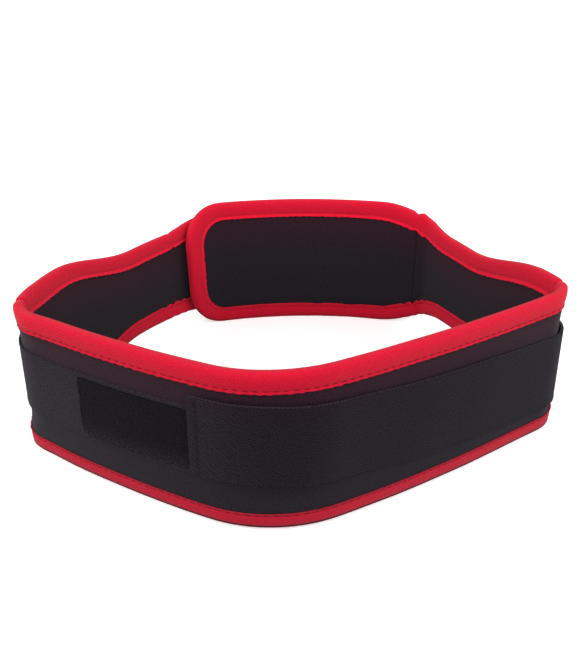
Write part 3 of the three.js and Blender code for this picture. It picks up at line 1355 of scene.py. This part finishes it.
class BELT_OT_fasteners(bpy.types.Operator):
    """Builds the loop patch, the hook tab and the fastener between the ends"""

    bl_idname = "belt.fasteners"
    bl_label = "Fasteners"

    def execute(self, context):
        settings = context.scene.belt_fasteners
        level = levels(context.scene)

        # The pile is painted lighter towards its lower edge: painted light bounced up from the floor.
        painted_uplight = PaintedLight(settings.painted_uplight_colour, PAINTED_UPLIGHT_FULL, PAINTED_UPLIGHT_GONE)
        pile = fuzzy_material("nylon_loop_pile", settings.pile_colour, PILE_FIBRE, PILE, painted_uplight)
        bm = layer_block(
            LOOP_PATCH, level["patch"], settings.patch_thickness / MM, PILE_STEP, PATCH_CORNER, PILE_FUZZ
        )
        patch = add_piece(bm, "loop_patch_pile", pile, "loop_patch")
        round_edges(patch, PATCH_RIM)

        hooks = woven_material("nylon_hook_tape", settings.hook_colour, HOOK_WEAVE, HOOKS)
        bm = layer_block(STRAP_HOOK, level["hook"], settings.hook_thickness / MM)
        tab = add_piece(bm, "strap_hook_tab", hooks, "strap_hook")
        round_edges(tab, HOOK_RIM)
        bm = layer_block(END_FASTENER, level["base"], settings.end_thickness / MM)
        fastener = add_piece(bm, "end_fastener_tape", hooks, "end_fastener")
        round_edges(fastener, FASTENER_RIM)

        return {"FINISHED"}


# Stage

# The camera's place, how far it looks down in degrees, and its lens and sensor in mm.
CAMERA_PLACE = Vector((-3.19, -533.6, 321.2)) * MM
CAMERA_DOWN = 26.4
CAMERA_LENS = 48.07
CAMERA_SENSOR = 36
# The floor reaches this far on each side, in metres.
FLOOR_REACH = 6
FLOOR_ROUGHNESS = 0.9
WHITE = (1, 1, 1, 1)


class SoftBox(NamedTuple):
    """A soft box: its place and size in metres."""

    name: str
    place: tuple
    size: float


SOFT_BOXES = (
    SoftBox("left", (-1.5, -0.3, 0.7), 1.2),
    SoftBox("right", (1.5, -0.3, 0.7), 1.2),
)
# The room is darker below the horizon: how much, and how wide the change is.
BELOW_HORIZON = 0.3
HORIZON = 0.15
# The wide light overhead: the angle it fills, and how far it is tipped to the front, in degrees.
CEILING_SPREAD = 70
CEILING_TILT = 58


class BeltStageSettings(bpy.types.PropertyGroup):
    """Floor, light and camera"""

    ceiling: FloatProperty(
        name="Ceiling",
        description="Strength of the wide light overhead, in watts per square metre",
        default=1.75,
        min=0,
    )
    sides: FloatProperty(
        name="Sides",
        description="Power of each soft box at the sides, in watts",
        default=13.8,
        min=0,
    )
    surround: FloatProperty(
        name="Surround",
        description="Brightness of the white room around the belt",
        default=0.6,
        min=0,
    )
    glow: FloatProperty(
        name="Glow",
        description="Brightness of the floor's own glow",
        default=0.35,
        min=0,
    )
    floor: FloatVectorProperty(
        name="Floor",
        description="Colour of the floor",
        subtype="COLOR",
        default=linear("#fafafa"),
        min=0,
        max=1,
    )


def add_floor(settings):
    """A white floor, which the belt stands on."""
    bm = bmesh.new()
    bmesh.ops.create_grid(bm, x_segments=1, y_segments=1, size=FLOOR_REACH)
    mesh = bpy.data.meshes.new("floor")
    bm.to_mesh(mesh)
    bm.free()
    # Matt white paint: even and bright, with no reflection of the belt.
    material = bpy.data.materials.new("matt_white_paint")
    material.use_nodes = True
    shader = material.node_tree.nodes["Principled BSDF"]
    shader.inputs["Base Color"].default_value = [*settings.floor, 1]
    shader.inputs["Roughness"].default_value = FLOOR_ROUGHNESS
    shader.inputs["Emission Color"].default_value = WHITE
    shader.inputs["Emission Strength"].default_value = settings.glow
    mesh.materials.append(material)
    floor = add_to_scene("floor", mesh)
    # The floor is white to the eye but throws no light up at the belt.
    floor.visible_diffuse = False


def add_lights(settings):
    """A wide light overhead and a soft box on each side."""
    ceiling = bpy.data.lights.new("ceiling", "SUN")
    ceiling.energy = settings.ceiling
    ceiling.angle = math.radians(CEILING_SPREAD)
    light = add_to_scene("ceiling", ceiling)
    light.rotation_euler = (math.radians(CEILING_TILT), 0, 0)
    for box in SOFT_BOXES:
        data = bpy.data.lights.new(box.name, "AREA")
        data.size = box.size
        data.energy = settings.sides
        light = add_to_scene(box.name, data)
        light.location = box.place
        light.rotation_euler = (-Vector(box.place)).to_track_quat("-Z", "Y").to_euler()


def white_room(settings):
    """A world that lights the belt from above more than from below, and that the camera sees as white."""
    world = bpy.data.worlds.new("white room")
    world.use_nodes = True
    tree = world.node_tree
    tree.nodes.clear()
    direction = add_node(tree, "ShaderNodeTexCoord").outputs["Generated"]
    height = add_node(tree, "ShaderNodeSeparateXYZ", {"Vector": direction}).outputs["Z"]
    strength = add_node(
        tree,
        "ShaderNodeMapRange",
        {
            "Value": height,
            "From Min": -HORIZON,
            "From Max": HORIZON,
            "To Min": settings.surround * BELOW_HORIZON,
            "To Max": settings.surround,
        },
    ).outputs["Result"]
    seen = add_node(tree, "ShaderNodeLightPath").outputs["Is Camera Ray"]
    shown = add_node(
        tree, "ShaderNodeMix", {"Factor": seen, "A": strength, "B": 1}, data_type="FLOAT"
    ).outputs["Result"]
    background = add_node(tree, "ShaderNodeBackground", {"Color": WHITE, "Strength": shown})
    add_node(tree, "ShaderNodeOutputWorld", {"Surface": background.outputs["Background"]})
    return world


def add_camera():
    """The camera, level from side to side and looking down at the belt."""
    data = bpy.data.cameras.new("photo camera")
    data.sensor_fit = "VERTICAL"
    data.sensor_height = CAMERA_SENSOR
    data.lens = CAMERA_LENS
    camera = add_to_scene("photo camera", data)
    camera.location = CAMERA_PLACE
    camera.rotation_euler = (math.radians(90 - CAMERA_DOWN), 0, 0)
    return camera


class BELT_OT_stage(bpy.types.Operator):
    """Sets the floor, the light and the camera"""

    bl_idname = "belt.stage"
    bl_label = "Stage"

    def execute(self, context):
        scene = context.scene
        settings = scene.belt_stage
        add_floor(settings)
        add_lights(settings)
        scene.world = white_room(settings)
        scene.view_settings.view_transform = "Standard"
        scene.camera = add_camera()
        return {"FINISHED"}


class BELT_PT_tools(bpy.types.Panel):
    """Lists the belt's settings and builders"""

    bl_label = "Weightlifting belt"
    bl_space_type = "VIEW_3D"
    bl_region_type = "UI"
    bl_category = "Belt"

    def draw(self, context):
        for group, operator in TOOLS.items():
            box = self.layout.box()
            settings = getattr(context.scene, group)
            for name in settings.__annotations__:
                box.prop(settings, name)
            box.operator(operator.bl_idname)


SETTINGS = {
    "belt_panel": BeltPanelSettings,
    "belt_tape": BeltTapeSettings,
    "belt_straps": BeltStrapSettings,
    "belt_fasteners": BeltFastenerSettings,
    "belt_stage": BeltStageSettings,
}
TOOLS = {
    "belt_panel": BELT_OT_panel,
    "belt_tape": BELT_OT_tape,
    "belt_straps": BELT_OT_straps,
    "belt_fasteners": BELT_OT_fasteners,
    "belt_stage": BELT_OT_stage,
}
CLASSES = (
    *SETTINGS.values(),
    *TOOLS.values(),
    BELT_PT_tools,
)


def register():
    for cls in CLASSES:
        bpy.utils.register_class(cls)
    for name, group in SETTINGS.items():
        setattr(bpy.types.Scene, name, PointerProperty(type=group))


def unregister():
    for name in SETTINGS:
        delattr(bpy.types.Scene, name)
    for cls in reversed(CLASSES):
        bpy.utils.unregister_class(cls)


def main():
    register()
    bpy.ops.belt.stage()
    bpy.ops.belt.panel()
    bpy.ops.belt.tape()
    bpy.ops.belt.fasteners()
    bpy.ops.belt.straps()


if __name__ == "__main__":
    main()
